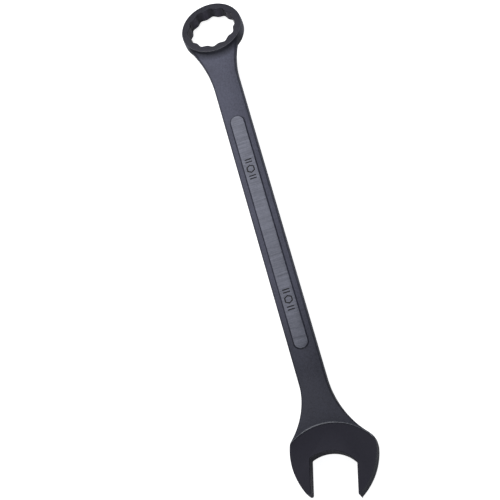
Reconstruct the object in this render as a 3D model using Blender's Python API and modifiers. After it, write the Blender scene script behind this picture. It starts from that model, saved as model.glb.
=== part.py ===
"""Combination wrench: one drop-forged bar with an open jaw at one end and a 12-point ring at the other.

It is drawn with the shank along +X, the ring's axis through the origin, the jaw at +X and the wrench's
upper side at +Z. The jaw opening is turned sideways from the shank, and the ring is tipped about Y so
that its far edge is lowest. An empty then lays the drawing down as the wrench lies on a bench: on the
far edge of its ring and the underside of its head, centred over the origin. Everything is forged in one
piece, so the wrench is a single solid.
"""
import math

import bmesh
import bpy
import numpy as np
from mathutils import Matrix

# Driving dimensions, in metres and radians.
ACROSS_FLATS = 0.0480          # nut that both ends take, with its working clearance
RING_TO_JAW = 0.5189           # ring axis to the jaw's middle, along the shank
JAW_SHIFT = -0.0052            # the jaw's middle, to the side of the shank's centre line
JAW_ANGLE = math.radians(14)   # opening turned from the shank, towards -Y
RING_TILT = math.radians(15)   # ring axis leaned back, towards -X at the top
RING_DROP = 0.0060             # ring centre below the shank's centre line

SHANK_WIDTH = 0.0304
SHANK_THICKNESS = 0.0155
SHANK_CROWN = 0.0008           # rise of the broad faces at their middle
SHANK_DRAFT = 0.0007           # bulge of the narrow sides at the parting line
EDGE_RADIUS = 0.0020           # rounding between broad faces and sides
PANEL_START = 0.1130           # raised panel, from the ring axis to its first end
PANEL_LENGTH = 0.2700
PANEL_LAND = 0.0140            # width of the ground top of the panel
PANEL_RISE = 0.0011
PANEL_SINK = 0.0030            # how far the panel's solid reaches into the shank
PANEL_CHAMFER = 0.0015         # 45 degree wall around the land

HEAD_CHEEK = 0.0210            # metal beside the flat, where the head is widest
HEAD_FORGED_THICKNESS = 0.0236
HEAD_FACE_THICKNESS = 0.0200   # across the two milled faces
MILL_RADIUS = 0.0580           # milled circle around the opening
MILL_AHEAD = 0.0052            # its centre, ahead of the jaw's middle
WIDEST_BEHIND = 0.0258         # widest place of the head, behind the jaw's middle
TIP_REACH = 0.0192             # jaw tips, ahead of the jaw's middle
TIP_SKEW = math.radians(3.2)   # the plane of the tips is turned, so that the -Y tip is the shorter
TIP_LAND = 0.0025              # width of each jaw tip
THROAT_GAP = 0.0008            # from a circle that fills the jaw, about its middle, to the throat
THROAT_RADIUS = 0.0354
THROAT_SHIFT = -0.0036         # the throat's arc is centred to the side of the jaw's middle
THROAT_CORNER = 0.0022
# For each side of the head: start of the flare behind the jaw's middle, flare radius, shoulder radius.
FLARE_LEFT = (0.1008, 0.0775, 0.0095)
FLARE_RIGHT = (0.0995, 0.1018, 0.0183)
HEAD_RAMP_LENGTH = 0.0620      # stretch over which the shank thickens into the head
HEAD_RAMP_END = 0.0500         # its end, behind the jaw's middle

RING_HEIGHT = 0.0174
RING_WALL = 0.0060             # from the root of a point to the outside of the ring
RING_BARREL = 0.0007           # how much wider the ring is at mid height than at its faces
RING_FACE_EDGE = 0.0004        # broken edge of the ring's faces
RING_LEAD_IN = 0.0005          # lead-in cone at the face, past the root of a point
RING_POINTS = 12
RING_FLARE = 0.0900            # radius of the neck's sides where they run out to the ring
RING_NECK_THICKNESS = 0.0118
NECK_INSIDE = 0.0018           # where the neck ends in the ring wall, past the root of a point
RING_RAMP_LENGTH = 0.0600      # stretch over which the neck thins towards the ring

LARGEST_TILT = math.radians(10)  # the wrench never lies steeper than this
CUT_OVER = 0.0050              # how far a cutter runs past what it cuts
RING_SEGMENTS = 96
FACE_STEPS = 6                 # spans across half of a broad face of a shank section
EDGE_STEPS = 4
SIDE_STEPS = 3

NUT_RADIUS = ACROSS_FLATS / 2
ROOT_RADIUS = NUT_RADIUS / math.cos(math.radians(30))
POINT_TIP_RADIUS = NUT_RADIUS / math.cos(math.pi / RING_POINTS)
BORE_RADIUS = POINT_TIP_RADIUS - 0.0010   # bore before the points are broached
RING_OUTER = ROOT_RADIUS + RING_WALL
HEAD_HALF = NUT_RADIUS + HEAD_CHEEK
SHANK_HALF = SHANK_WIDTH / 2
JAW_CENTRE = np.array([RING_TO_JAW, JAW_SHIFT])
AHEAD = np.array([math.cos(JAW_ANGLE), -math.sin(JAW_ANGLE)])
ASIDE = np.array([math.sin(JAW_ANGLE), math.cos(JAW_ANGLE)])


def clear_scene():
    """Remove every object of the scene."""
    for item in list(bpy.data.objects):
        bpy.data.objects.remove(item, do_unlink=True)


def make_collection(name):
    """A new collection in the scene."""
    collection = bpy.data.collections.new(name)
    bpy.context.scene.collection.children.link(collection)
    return collection


def steel_material():
    """Blackened forged steel."""
    material = bpy.data.materials.new("blackened_steel")
    material.use_nodes = True
    shader = material.node_tree.nodes["Principled BSDF"]
    shader.inputs["Base Color"].default_value = (0.085, 0.088, 0.108, 1.0)
    shader.inputs["Roughness"].default_value = 0.5
    shader.inputs["Metallic"].default_value = 0.85
    return material


def jaw_point(ahead, aside):
    """A point in plan, measured from the middle of the jaw, along and across the opening."""
    return JAW_CENTRE + ahead * AHEAD + aside * ASIDE


def arc(centre, radius, start, end, steps):
    """Points of an arc in plan, from one angle to the other."""
    angles = np.linspace(start, end, steps + 1)
    return [(centre[0] + radius * math.cos(a), centre[1] + radius * math.sin(a)) for a in angles]


def smooth(value):
    """Smooth step from 0 to 1."""
    t = min(max(value, 0.0), 1.0)
    return t * t * (3 - 2 * t)


def circle_meeting(centre_a, reach_a, centre_b, reach_b):
    """The point at the given distances from two centres, on the side of larger X."""
    gap = centre_b - centre_a
    distance = float(np.hypot(*gap))
    along = (reach_a ** 2 - reach_b ** 2 + distance ** 2) / (2 * distance)
    across = math.sqrt(max(reach_a ** 2 - along ** 2, 0.0))
    unit = gap / distance
    normal = np.array([unit[1], -unit[0]])
    foot = centre_a + along * unit
    return max((foot + across * normal, foot - across * normal), key=lambda point: point[0])


def side_arc():
    """Radius of the head's side, an arc from its widest place to the jaw tip, and its centre's offset."""
    length = TIP_REACH + WIDEST_BEHIND
    narrowing = HEAD_HALF - (NUT_RADIUS + TIP_LAND)
    radius = (length ** 2 + narrowing ** 2) / (2 * narrowing)
    return radius, radius - HEAD_HALF


class HeadSide:
    """One side of the plan outline: shank, flare, shoulder and the arc down to the jaw tip."""

    def __init__(self, sign, flare):
        start, flare_radius, shoulder_radius = flare
        self.sign = sign
        self.flare_radius = flare_radius
        self.shoulder_radius = shoulder_radius
        self.flare_centre = np.array([RING_TO_JAW - start, sign * (SHANK_HALF + flare_radius)])
        self.side_radius, offset = side_arc()
        self.side_centre = jaw_point(-WIDEST_BEHIND, -sign * offset)
        self.shoulder_centre = circle_meeting(self.flare_centre, flare_radius + shoulder_radius,
                                              self.side_centre, self.side_radius - shoulder_radius)
        outward = self.shoulder_centre - self.flare_centre
        self.flare_end = self.flare_centre + outward * flare_radius / np.hypot(*outward)
        outward = self.shoulder_centre - self.side_centre
        self.shoulder_end = self.side_centre + outward * self.side_radius / np.hypot(*outward)

    def offset(self, x):
        """Distance of the outline from the shank's centre line, towards its own side."""
        if x <= self.flare_centre[0]:
            return SHANK_HALF
        if x <= self.flare_end[0]:
            centre, radius, bulge = self.flare_centre, self.flare_radius, -1
        elif x <= self.shoulder_end[0]:
            centre, radius, bulge = self.shoulder_centre, self.shoulder_radius, 1
        else:
            centre, radius, bulge = self.side_centre, self.side_radius, 1
        rise = math.sqrt(max(radius ** 2 - (x - centre[0]) ** 2, 0.0))
        return self.sign * centre[1] + bulge * rise


def ring_flare(x):
    """Half width of the neck where its sides run out to the ring on a large radius."""
    height = SHANK_HALF + RING_FLARE
    start = math.sqrt((RING_OUTER + RING_FLARE) ** 2 - height ** 2)
    if x >= start:
        return SHANK_HALF
    return height - math.sqrt(RING_FLARE ** 2 - (start - x) ** 2)


def half_thickness(x):
    """Half thickness of the forging at a place along the shank."""
    shank = SHANK_THICKNESS / 2
    towards_head = smooth((x - (RING_TO_JAW - HEAD_RAMP_END - HEAD_RAMP_LENGTH)) / HEAD_RAMP_LENGTH)
    towards_ring = smooth((RING_OUTER + RING_RAMP_LENGTH - x) / RING_RAMP_LENGTH)
    head_gain = HEAD_FORGED_THICKNESS / 2 - shank
    ring_loss = shank - RING_NECK_THICKNESS / 2
    return shank + head_gain * towards_head - ring_loss * towards_ring


def quarter_section(half_width, half_height):
    """Quarter of a shank section as (across, up) points: crowned face, rounded edge, drafted side."""
    corner = half_width - SHANK_DRAFT
    face_end = corner - EDGE_RADIUS
    edge_top = half_height - SHANK_CROWN
    points = []
    for step in range(FACE_STEPS):
        across = face_end * step / FACE_STEPS
        points.append((across, half_height - SHANK_CROWN * (across / face_end) ** 2))
    for step in range(EDGE_STEPS + 1):
        angle = math.pi / 2 * (1 - step / EDGE_STEPS)
        points.append((face_end + EDGE_RADIUS * math.cos(angle),
                       edge_top - EDGE_RADIUS + EDGE_RADIUS * math.sin(angle)))
    for step in range(1, SIDE_STEPS + 1):
        down = step / SIDE_STEPS
        points.append((corner + SHANK_DRAFT * math.sin(down * math.pi / 2),
                       (edge_top - EDGE_RADIUS) * (1 - down)))
    return points


def section(x, left, right):
    """Closed loop of a section, from the middle of the top face around by +Y."""
    height = half_thickness(x)
    quarter_right = quarter_section(right, height)
    quarter_left = quarter_section(left, height)
    loop = [(y, z) for y, z in quarter_right]
    loop += [(y, -z) for y, z in reversed(quarter_right[:-1])]
    loop += [(-y, -z) for y, z in quarter_left[1:]]
    loop += [(-y, z) for y, z in reversed(quarter_left[1:-1])]
    return [(x, y, z) for y, z in loop]


def shank_stations():
    """Places along X where the forging's section is given, closer together where it changes."""
    neck_start = ROOT_RADIUS + NECK_INSIDE
    neck_end = RING_OUTER + RING_RAMP_LENGTH
    flare_start = RING_TO_JAW - max(FLARE_LEFT[0], FLARE_RIGHT[0], HEAD_RAMP_END + HEAD_RAMP_LENGTH)
    head_start = RING_TO_JAW - HEAD_RAMP_END
    head_end = RING_TO_JAW + TIP_REACH * math.cos(JAW_ANGLE) + 0.35 * NUT_RADIUS
    neck = np.linspace(neck_start, neck_end, 13)
    flare = np.linspace(flare_start, head_start, 14)
    head = np.linspace(head_start, head_end, 34)
    return list(neck) + list(flare) + list(head[1:])


def build_shank():
    """Shank, neck and head as one loft of sections along X."""
    left_side = HeadSide(-1, FLARE_LEFT)
    right_side = HeadSide(1, FLARE_RIGHT)
    bm = bmesh.new()
    loops = []
    for x in shank_stations():
        neck = ring_flare(x)
        left = max(neck, left_side.offset(x))
        right = max(neck, right_side.offset(x))
        loops.append([bm.verts.new(point) for point in section(x, left, right)])
    count = len(loops[0])
    for first, second in zip(loops, loops[1:]):
        for index in range(count):
            after = (index + 1) % count
            bm.faces.new((first[index], first[after], second[after], second[index]))
    bm.faces.new(loops[0])
    bm.faces.new(loops[-1])
    bmesh.ops.recalc_face_normals(bm, faces=bm.faces)
    mesh = bpy.data.meshes.new("combination_wrench")
    bm.to_mesh(mesh)
    bm.free()
    return bpy.data.objects.new("combination_wrench", mesh)


def plate(name, outline, collection, bottom, top, chamfer=0.0):
    """A flat outline as a solid between two heights, optionally with a 45 degree edge all round."""
    curve = bpy.data.curves.new(name, "CURVE")
    curve.dimensions = "2D"
    curve.fill_mode = "BOTH"
    curve.extrude = (top - bottom) / 2 - chamfer
    curve.bevel_depth = chamfer
    curve.bevel_resolution = 0
    curve.offset = -chamfer
    spline = curve.splines.new("POLY")
    spline.points.add(len(outline) - 1)
    for point, (x, y) in zip(spline.points, outline):
        point.co = (x, y, 0.0, 1.0)
    spline.use_cyclic_u = True
    flat = bpy.data.objects.new(name + "_outline", curve)
    collection.objects.link(flat)
    bpy.context.view_layer.update()
    evaluated = flat.evaluated_get(bpy.context.evaluated_depsgraph_get())
    mesh = bpy.data.meshes.new_from_object(evaluated)
    bpy.data.objects.remove(flat, do_unlink=True)
    bm = bmesh.new()
    bm.from_mesh(mesh)
    bmesh.ops.remove_doubles(bm, verts=bm.verts, dist=1e-6)
    bmesh.ops.translate(bm, verts=bm.verts, vec=(0.0, 0.0, (top + bottom) / 2))
    bmesh.ops.recalc_face_normals(bm, faces=bm.faces)
    bm.to_mesh(mesh)
    bm.free()
    solid = bpy.data.objects.new(name, mesh)
    collection.objects.link(solid)
    return solid


def turned(name, profile, collection):
    """A solid of revolution from a closed profile clear of the axis, which runs down its outer side."""
    mesh = bpy.data.meshes.new(name)
    edges = [(index, (index + 1) % len(profile)) for index in range(len(profile))]
    mesh.from_pydata([(radius, 0.0, height) for radius, height in profile], edges, [])
    solid = bpy.data.objects.new(name, mesh)
    collection.objects.link(solid)
    screw = solid.modifiers.new("turn", "SCREW")
    screw.steps = RING_SEGMENTS
    screw.render_steps = RING_SEGMENTS
    screw.use_merge_vertices = True
    screw.merge_threshold = 1e-6
    return solid


def ring_placement():
    """Where the ring and its cutters sit: tipped about Y and dropped below the shank's centre line."""
    return Matrix.Translation((0.0, 0.0, -RING_DROP)) @ Matrix.Rotation(-RING_TILT, 4, "Y")


def build_ring(collection):
    """The ring before broaching: flat faces, barrel-shaped outside, broken edges and lead-in cones.

    It is turned by a third of a facet, so that no facet edge meets an edge of the 12-point hole.
    """
    half = RING_HEIGHT / 2
    face_radius = RING_OUTER - RING_BARREL
    mouth = ROOT_RADIUS + RING_LEAD_IN
    cone_depth = mouth - BORE_RADIUS
    steps = 10
    profile = [(mouth, half), (face_radius - RING_FACE_EDGE, half)]
    for step in range(steps + 1):
        height = (half - RING_FACE_EDGE) * (1 - 2 * step / steps)
        swell = math.sqrt(1 - (height / half) ** 2)
        profile.append((face_radius + RING_BARREL * swell, height))
    profile += [(face_radius - RING_FACE_EDGE, -half), (mouth, -half)]
    profile += [(BORE_RADIUS, cone_depth - half), (BORE_RADIUS, half - cone_depth)]
    ring = turned("ring_blank", profile, collection)
    facet_turn = Matrix.Rotation(2 * math.pi / RING_SEGMENTS / 3, 4, "Z")
    ring.matrix_world = ring_placement() @ facet_turn
    return ring


def point_outline():
    """Twelve-point outline: two hexagons over each other, with a point towards the shank."""
    outline = []
    for index in range(2 * RING_POINTS):
        radius = POINT_TIP_RADIUS if index % 2 == 0 else ROOT_RADIUS
        angle = math.pi * index / RING_POINTS
        outline.append((radius * math.cos(angle), radius * math.sin(angle)))
    return outline


def build_broach(collection):
    """The 12-point hole through the ring."""
    reach = RING_HEIGHT / 2 + CUT_OVER
    hole = plate("point_hole", point_outline(), collection, -reach, reach)
    hole.matrix_world = ring_placement()
    return hole


def throat_corner(side, centre):
    """Centre of a throat corner, and its direction from the centre of the throat's arc."""
    across = side * (NUT_RADIUS - THROAT_CORNER)
    reach = THROAT_RADIUS - THROAT_CORNER
    back = centre - math.sqrt(reach ** 2 - (across - THROAT_SHIFT) ** 2)
    return (back, across), math.atan2(across - THROAT_SHIFT, back - centre) % (2 * math.pi)


def opening_outline():
    """Jaw opening in plan: flats, small corners and the arc of the throat."""
    centre = THROAT_RADIUS - NUT_RADIUS - THROAT_GAP
    right, right_swing = throat_corner(1, centre)
    left, left_swing = throat_corner(-1, centre)
    far = TIP_REACH + CUT_OVER
    local = [(far, -NUT_RADIUS), (far, NUT_RADIUS)]
    local += arc(right, THROAT_CORNER, math.pi / 2, right_swing, 4)
    local += arc((centre, THROAT_SHIFT), THROAT_RADIUS, right_swing, left_swing, 20)[1:-1]
    local += arc(left, THROAT_CORNER, left_swing, 3 * math.pi / 2, 4)
    return [tuple(jaw_point(ahead, aside)) for ahead, aside in local]


def build_jaw_cutters(collection):
    """The plane that ends the jaw tips, the opening and the two milled faces."""
    reach = HEAD_FORGED_THICKNESS / 2 + CUT_OVER
    opening = plate("jaw_opening", opening_outline(), collection, -reach, reach)
    far = TIP_REACH + HEAD_HALF
    lean = far * math.tan(TIP_SKEW)
    beyond = [(TIP_REACH - lean, -far), (far, -far), (far, far), (TIP_REACH + lean, far)]
    corners = [tuple(jaw_point(ahead, aside)) for ahead, aside in beyond]
    tips = plate("tip_plane", corners, collection, -reach, reach)
    centre = jaw_point(MILL_AHEAD, 0.0)
    circle = arc(centre, MILL_RADIUS, 0.0, 2 * math.pi, 120)[:-1]
    face = HEAD_FACE_THICKNESS / 2
    upper = plate("upper_face_mill", circle, collection, face, reach)
    lower = plate("lower_face_mill", circle, collection, -reach, -face)
    return [tips, opening, upper, lower]


def build_panels(collection):
    """Raised panels along both broad faces, with round ends and a ground flat top."""
    radius = PANEL_LAND / 2 + PANEL_CHAMFER
    first = PANEL_START + radius - PANEL_CHAMFER
    second = PANEL_START + PANEL_LENGTH - radius + PANEL_CHAMFER
    outline = arc((first, 0.0), radius, math.pi / 2, 3 * math.pi / 2, 16)
    outline += arc((second, 0.0), radius, -math.pi / 2, math.pi / 2, 16)
    top = SHANK_THICKNESS / 2 + PANEL_RISE
    depth = PANEL_RISE + PANEL_SINK
    upper = plate("upper_panel", outline, collection, top - depth, top, PANEL_CHAMFER)
    lower = plate("lower_panel", outline, collection, -top, depth - top, PANEL_CHAMFER)
    return [upper, lower]


def combine(target, tool, operation):
    """Join a tool to the target, or cut it away, as a live Boolean."""
    tool.hide_render = True
    tool.display_type = "WIRE"
    step = target.modifiers.new(tool.name, "BOOLEAN")
    step.operation = operation
    step.object = tool
    step.solver = "EXACT"


def finished_points(target):
    """Corners of an object's surface after its modifiers, in the drawing's frame."""
    bpy.context.view_layer.update()
    evaluated = target.evaluated_get(bpy.context.evaluated_depsgraph_get())
    mesh = evaluated.to_mesh()
    points = np.empty(len(mesh.vertices) * 3, dtype=np.float32)
    mesh.vertices.foreach_get("co", points)
    evaluated.to_mesh_clear()
    return points.reshape(-1, 3).astype(float)


def resting_tilt(points):
    """Turn about Y that brings the ring's lowest point and the head's lowest point level."""
    ring_end = points[points[:, 0] < RING_TO_JAW / 2]
    jaw_end = points[points[:, 0] >= RING_TO_JAW / 2]

    def ring_is_lower(tilt):
        """Whether the ring's end reaches lower than the jaw's at this tilt."""
        lowest = [(end[:, 2] * math.cos(tilt) - end[:, 0] * math.sin(tilt)).min()
                  for end in (ring_end, jaw_end)]
        return lowest[0] < lowest[1]

    low, high = 0.0, LARGEST_TILT
    for _ in range(40):
        middle = (low + high) / 2
        if ring_is_lower(middle):
            low = middle
        else:
            high = middle
    return (low + high) / 2


def lay_down(wrench, tools):
    """Parent everything to an empty that lays the wrench on the ground, centred over the origin."""
    points = finished_points(wrench)
    turn = Matrix.Rotation(resting_tilt(points), 4, "Y")
    placed = points @ np.array(turn.to_3x3()).T
    low, high = placed.min(axis=0), placed.max(axis=0)
    bench = bpy.data.objects.new("bench_placement", None)
    bpy.context.scene.collection.objects.link(bench)
    shift = Matrix.Translation((-(low[0] + high[0]) / 2, -(low[1] + high[1]) / 2, -low[2]))
    bench.matrix_world = shift @ turn
    for item in [wrench] + tools:
        item.parent = bench


def main():
    """Build the wrench."""
    clear_scene()
    parts = make_collection("combination_wrench")
    tools = make_collection("cutters")
    wrench = build_shank()
    parts.objects.link(wrench)
    wrench.data.materials.append(steel_material())
    joined = [build_ring(tools)] + build_panels(tools)
    cut = [build_broach(tools)] + build_jaw_cutters(tools)
    for piece in joined:
        combine(wrench, piece, "UNION")
    for cutter in cut:
        combine(wrench, cutter, "DIFFERENCE")
    wrench.data.shade_smooth()
    wrench.data.set_sharp_from_angle(angle=math.radians(30))
    lay_down(wrench, joined + cut)


main()
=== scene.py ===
"""A large combination wrench, forged in one piece and blackened, lying on a pale bench.

The forging is drawn as the part is: the shank along +X, the ring's axis through the origin, the jaw at
+X and the upper side at +Z. When it is complete it is laid down on the bench, on the far edge of its
ring and the underside of its head, with its origin at a set place in the box of the CAD node.
"""
import logging
import math
from dataclasses import dataclass
from enum import Enum

import bmesh
import bpy
import numpy as np
from mathutils import Matrix, Vector


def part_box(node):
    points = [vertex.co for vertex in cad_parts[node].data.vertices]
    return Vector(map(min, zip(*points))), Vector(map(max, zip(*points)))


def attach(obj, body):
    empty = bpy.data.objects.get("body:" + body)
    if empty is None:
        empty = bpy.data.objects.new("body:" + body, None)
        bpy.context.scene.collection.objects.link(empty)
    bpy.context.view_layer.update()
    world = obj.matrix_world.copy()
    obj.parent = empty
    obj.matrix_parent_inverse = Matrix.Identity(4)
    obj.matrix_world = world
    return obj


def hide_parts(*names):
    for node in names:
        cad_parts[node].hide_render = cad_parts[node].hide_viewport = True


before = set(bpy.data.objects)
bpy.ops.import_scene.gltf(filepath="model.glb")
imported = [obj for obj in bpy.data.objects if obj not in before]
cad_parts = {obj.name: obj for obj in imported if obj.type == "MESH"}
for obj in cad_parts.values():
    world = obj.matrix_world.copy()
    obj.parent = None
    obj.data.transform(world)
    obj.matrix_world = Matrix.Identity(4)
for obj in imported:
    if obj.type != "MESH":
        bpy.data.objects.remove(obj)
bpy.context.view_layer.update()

NODE = "combination_wrench"
LOG = logging.getLogger("wrench")

Array = np.ndarray


class Finish(Enum):
    """Finishes of the wrench, in the order of its material slots."""

    FORGED = 0
    PANEL = 1
    MILLED = 2
    RING_FACE = 3
    BROACHED = 4
    JAW = 5
    EDGE = 6
    RECESS = 7
    RIM = 8


def smooth(value: Array) -> Array:
    """Smooth step: three times the square less twice the cube, held between 0 and 1.

    Args:
        value: Where to evaluate it.

    Returns:
        0 below 0, 1 above 1 and an S-shaped rise between.
    """
    held = np.clip(value, 0.0, 1.0)
    return held * held * (3 - 2 * held)


def arc(centre: tuple[float, float], radius: float, start: float, end: float, steps: int) -> Array:
    """Points of an arc in plan: the centre plus the radius times the cosine and sine of the angle.

    Args:
        centre: Centre in plan.
        radius: Radius of the arc.
        start: First angle, in radians.
        end: Last angle, in radians.
        steps: Number of spans.

    Returns:
        Points as rows of x and y.
    """
    angle = np.linspace(start, end, steps + 1)
    return np.column_stack([centre[0] + radius * np.cos(angle), centre[1] + radius * np.sin(angle)])


def grown(outline: Array, distance: float) -> Array:
    """A closed outline moved sideways, each point along the mitre of its two edges.

    The mitre is the sum of the two edge normals over one plus their dot product.

    Args:
        outline: Points in plan, anticlockwise.
        distance: How far the outline moves outwards.

    Returns:
        The moved points, in the same order.
    """
    edge = np.roll(outline, -1, axis=0) - outline
    normal = np.column_stack([edge[:, 1], -edge[:, 0]]) / np.hypot(edge[:, 0], edge[:, 1])[:, None]
    before = np.roll(normal, 1, axis=0)
    mitre = (normal + before) / (1 + (normal * before).sum(1))[:, None]
    return outline + distance * mitre


def levels(outline: Array, steps: list[tuple[float, float]]) -> Array:
    """Loops of a prism whose outline grows or shrinks from level to level.

    Args:
        outline: Points in plan, anticlockwise.
        steps: Height and growth of each level, from the lowest.

    Returns:
        Levels by points by x, y and z.
    """
    return np.stack([np.column_stack([grown(outline, growth), np.full(len(outline), height)])
                     for height, growth in steps])


def grid_faces(rows: int, columns: int, wrap_rows: bool) -> Array:
    """Quads of a grid of points that closes across its columns.

    Args:
        rows: Number of rows of points.
        columns: Number of points in a row.
        wrap_rows: Whether the last row joins the first.

    Returns:
        Four point numbers for each quad.
    """
    row, column = np.meshgrid(np.arange(rows if wrap_rows else rows - 1), np.arange(columns), indexing="ij")
    below, after = (row + 1) % rows, (column + 1) % columns
    return np.stack([row * columns + column, row * columns + after,
                     below * columns + after, below * columns + column], axis=-1).reshape(-1, 4)


def solid(name: str, loops: Array, ring_shaped: bool = False) -> bpy.types.Object:
    """A closed solid from a grid of points.

    Args:
        name: Name of the new object.
        loops: Loops by points by x, y and z.
        ring_shaped: Whether the last loop joins the first; otherwise both end loops are capped.

    Returns:
        The object, with its faces outwards.
    """
    rows, columns = loops.shape[:2]
    faces = grid_faces(rows, columns, ring_shaped).tolist()
    if not ring_shaped:
        faces += [list(range(columns)), list(range((rows - 1) * columns, rows * columns))]
    mesh = bpy.data.meshes.new(name)
    mesh.from_pydata(loops.reshape(-1, 3), [], faces)
    bm = bmesh.new()
    bm.from_mesh(mesh)
    bmesh.ops.recalc_face_normals(bm, faces=bm.faces)
    bm.to_mesh(mesh)
    bm.free()
    piece = bpy.data.objects.new(name, mesh)
    bpy.context.scene.collection.objects.link(piece)
    return piece


def combine(target: bpy.types.Object, tool: bpy.types.Object, operation: str) -> None:
    """Joins a solid to the target or cuts it out, and removes the tool.

    Args:
        target: Object that is changed.
        tool: Solid that is joined or cut out.
        operation: UNION or DIFFERENCE.
    """
    modifier = target.modifiers.new("combine", "BOOLEAN")
    modifier.operation = operation
    modifier.solver = "EXACT"
    modifier.object = tool
    bpy.context.view_layer.update()
    evaluated = target.evaluated_get(bpy.context.evaluated_depsgraph_get())
    mesh = bpy.data.meshes.new_from_object(evaluated)
    target.modifiers.remove(modifier)
    old = target.data
    target.data = mesh
    bpy.data.meshes.remove(old)
    bpy.data.objects.remove(tool, do_unlink=True)


def read(items: bpy.types.bpy_prop_collection, name: str, width: int = 1, kind: type = float) -> Array:
    """One property of each item of a mesh, as rows where it has more than one number."""
    values = np.empty(len(items) * width, dtype=kind)
    items.foreach_get(name, values)
    return values.reshape(-1, width) if width > 1 else values


def points_of(piece: bpy.types.Object) -> Array:
    """Vertices of an object as rows of x, y and z."""
    return read(piece.data.vertices, "co", 3)


def move_points(piece: bpy.types.Object, points: Array) -> None:
    """Puts an object's vertices at the given places."""
    piece.data.vertices.foreach_set("co", points.reshape(-1))
    piece.data.update()


@dataclass(frozen=True)
class Jaw:
    """The open jaw: its opening, tips and milled faces, measured from the middle of the jaw."""

    middle: tuple[float, float] = (0.5189, -0.0052)
    turn: float = math.radians(14)
    half_width: float = 0.0240
    cheek: float = 0.0210
    widest_behind: float = 0.0258
    tip_reach: float = 0.0200
    tip_skew: float = math.radians(3.2)
    tip_land: float = 0.0025
    tip_round: float = 0.0034
    tip_inner_round: float = 0.0020
    tip_swing: float = math.radians(43)
    throat_gap: float = 0.0008
    throat_radius: float = 0.0354
    throat_shift: float = -0.0036
    throat_corner: float = 0.0022
    mill_radius: float = 0.0580
    mill_ahead: float = 0.0052
    mill_fillet: float = 0.0006
    mill_rim_drop: float = 0.0011
    mill_rim_growth: float = 0.7
    face_half: float = 0.0100
    forged_half: float = 0.0118
    lip: float = 0.0005
    over: float = 0.0050

    @property
    def head_half(self) -> float:
        """Half width of the head at its widest place."""
        return self.half_width + self.cheek

    @property
    def axes(self) -> Array:
        """Directions in plan, ahead out of the jaw and aside, as rows."""
        cosine, sine = math.cos(self.turn), math.sin(self.turn)
        return np.array([[cosine, -sine], [sine, cosine]])

    def plan(self, local: Array) -> Array:
        """Turns points measured ahead and aside of the jaw's middle into plan points."""
        return np.array(self.middle) + np.asarray(local) @ self.axes

    def local(self, points: Array) -> Array:
        """Turns plan points into distances ahead and aside of the jaw's middle."""
        return (points - np.array(self.middle)) @ self.axes.T

    def outline(self) -> Array:
        """The opening in plan: the flats, two small corners and the arc of the throat.

        Returns:
            Points, anticlockwise.
        """
        centre = self.throat_radius - self.half_width - self.throat_gap
        reach = self.throat_radius - self.throat_corner
        corners = []
        for side in (1, -1):
            across = side * (self.half_width - self.throat_corner)
            back = centre - math.sqrt(reach ** 2 - (across - self.throat_shift) ** 2)
            swing = math.atan2(across - self.throat_shift, back - centre) % (2 * math.pi)
            corners.append(((back, across), swing))
        (right, right_swing), (left, left_swing) = corners
        far = self.tip_reach + self.over
        local = np.vstack([
            [(far, -self.half_width), (far, self.half_width)],
            arc(right, self.throat_corner, math.pi / 2, right_swing, 8),
            arc((centre, self.throat_shift), self.throat_radius, right_swing, left_swing, 48)[1:-1],
            arc(left, self.throat_corner, left_swing, 3 * math.pi / 2, 8)])
        return self.plan(local)

    def opening(self) -> bpy.types.Object:
        """Cutter of the opening, widened at 45 degrees where it leaves the milled faces."""
        reach = self.forged_half + self.over
        start = self.face_half - self.lip
        steps = [(-reach, reach - start), (-start, 0.0), (start, 0.0), (reach, reach - start)]
        return solid("opening_cutter", levels(self.outline(), steps))

    def tip_plane(self) -> bpy.types.Object:
        """Cutter that ends each tip in a rounded nose, the -Y one shorter by the skew."""
        reach = self.forged_half + self.over
        far = self.tip_reach + self.head_half
        noses = {}
        for side in (-1, 1):
            across = self.half_width + self.tip_land
            end = self.tip_reach + side * across * math.tan(self.tip_skew)
            inner = arc((end - self.tip_inner_round, self.half_width + self.tip_inner_round - 2e-5),
                        self.tip_inner_round, -math.pi / 2, 0.0, 6)
            outer = arc((end - self.tip_round, self.half_width + self.tip_inner_round),
                        self.tip_round, 0.0, self.tip_swing, 8)
            away = np.array([-math.sin(self.tip_swing), math.cos(self.tip_swing)])
            noses[side] = np.vstack([inner, outer, outer[-1] + self.head_half * away]) * (1, side)
        outline = np.vstack([noses[-1][::-1], noses[1], [(2 * far, far), (2 * far, -far)]])
        return solid("tip_cutter", levels(self.plan(outline), [(-reach, 0.0), (reach, 0.0)]))

    def mill(self, side: int) -> bpy.types.Object:
        """Cutter of one milled face, with a small fillet at its floor and a broken upper rim.

        Args:
            side: 1 for the upper face, -1 for the lower.

        Returns:
            The cutter.
        """
        rim = self.forged_half - self.mill_rim_drop
        turn = np.linspace(0.0, math.pi / 2, 5)
        fillet = [(self.face_half + self.mill_fillet * (1 - math.cos(a)),
                   self.mill_fillet * (math.sin(a) - 1)) for a in turn]
        top = rim + self.over
        steps = fillet + [(rim, 0.0), (top, self.mill_rim_growth * (top - rim))]
        centre = self.plan([(self.mill_ahead, 0.0)])[0]
        loops = levels(arc(tuple(centre), self.mill_radius, 0.0, 2 * math.pi, 240)[:-1], steps)
        loops[:, :, 2] *= side
        return solid("face_mill", loops)


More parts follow.
